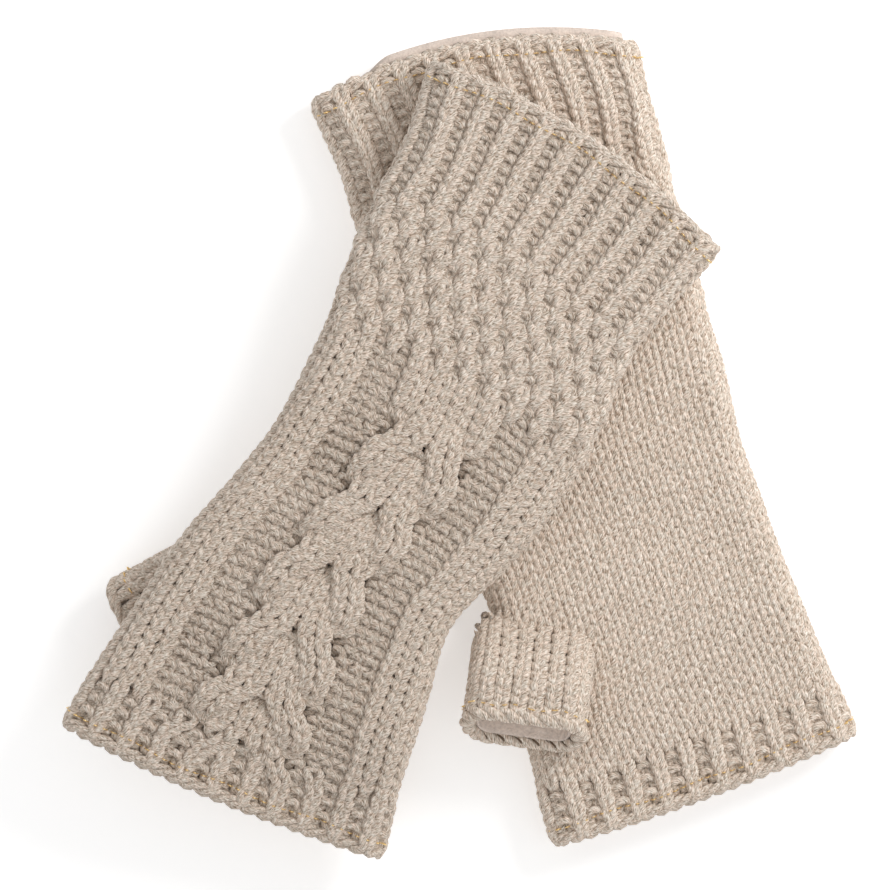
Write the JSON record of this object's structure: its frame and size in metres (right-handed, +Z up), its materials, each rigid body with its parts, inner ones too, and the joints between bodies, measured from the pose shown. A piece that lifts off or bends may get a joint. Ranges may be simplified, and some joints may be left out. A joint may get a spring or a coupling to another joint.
{
  "type": "fingerless gloves",
  "caption": "Pair of hand-knitted, fleece-lined fingerless gloves lying crossed: ribbed cuffs, moss stitch and horseshoe cable on the back, plain palm and a short thumb sleeve.",
  "frame": {"origin": "centre of the pair's bounding box, on the surface that the gloves lie on", "axes": "+Z up from the surface, +Y from the finger openings to the wrists, +X to the right seen from above"},
  "size_m": [0.2284, 0.2356, 0.0323],
  "materials": {
    "wool_plain": "matt heather wool, plain knit",
    "wool_rib": "matt heather wool, ribbed and bound-off",
    "wool_cable": "matt heather wool, cable and moss stitch",
    "fleece": "soft brushed fleece",
    "metallic_thread": "glinting metallic sewing thread"
  },
  "bodies": {
    "right_glove": {"right_wrist_edge": "wool_rib", "right_wrist_rib": "wool_rib", "right_moss_panel": "wool_cable", "right_cable_panel": "wool_cable", "right_palm_panel": "wool_plain", "right_finger_rib": "wool_rib", "right_finger_edge": "wool_rib", "right_hand_lining": "fleece", "right_wrist_thread": "metallic_thread", "right_finger_thread": "metallic_thread"},
    "right_thumb": {"right_thumb_sleeve": "wool_plain", "right_thumb_edge": "wool_rib", "right_thumb_lining": "fleece", "right_thumb_thread": "metallic_thread"},
    "left_glove": {"left_wrist_edge": "wool_rib", "left_wrist_rib": "wool_rib", "left_moss_panel": "wool_cable", "left_cable_panel": "wool_cable", "left_palm_panel": "wool_plain", "left_finger_rib": "wool_rib", "left_finger_edge": "wool_rib", "left_hand_lining": "fleece", "left_wrist_thread": "metallic_thread", "left_finger_thread": "metallic_thread"},
    "left_thumb": {"left_thumb_sleeve": "wool_plain", "left_thumb_edge": "wool_rib", "left_thumb_lining": "fleece", "left_thumb_thread": "metallic_thread"}
  },
  "joints": [
    {"name": "left_glove_lift", "type": "slide", "parent": "right_glove", "child": "left_glove", "axis": [0, 0, 1], "range_m": [0, 0.12]},
    {"name": "right_thumb_swing", "type": "hinge", "parent": "right_glove", "child": "right_thumb", "pos_m": [0.02055, -0.0589, 0.0163], "axis": [0, 0, 1], "range_deg": [-12, 35]},
    {"name": "left_thumb_swing", "type": "hinge", "parent": "left_glove", "child": "left_thumb", "pos_m": [-0.06975, -0.04136, 0.016], "axis": [0, 0, 1], "range_deg": [-20, 8]}
  ]
}
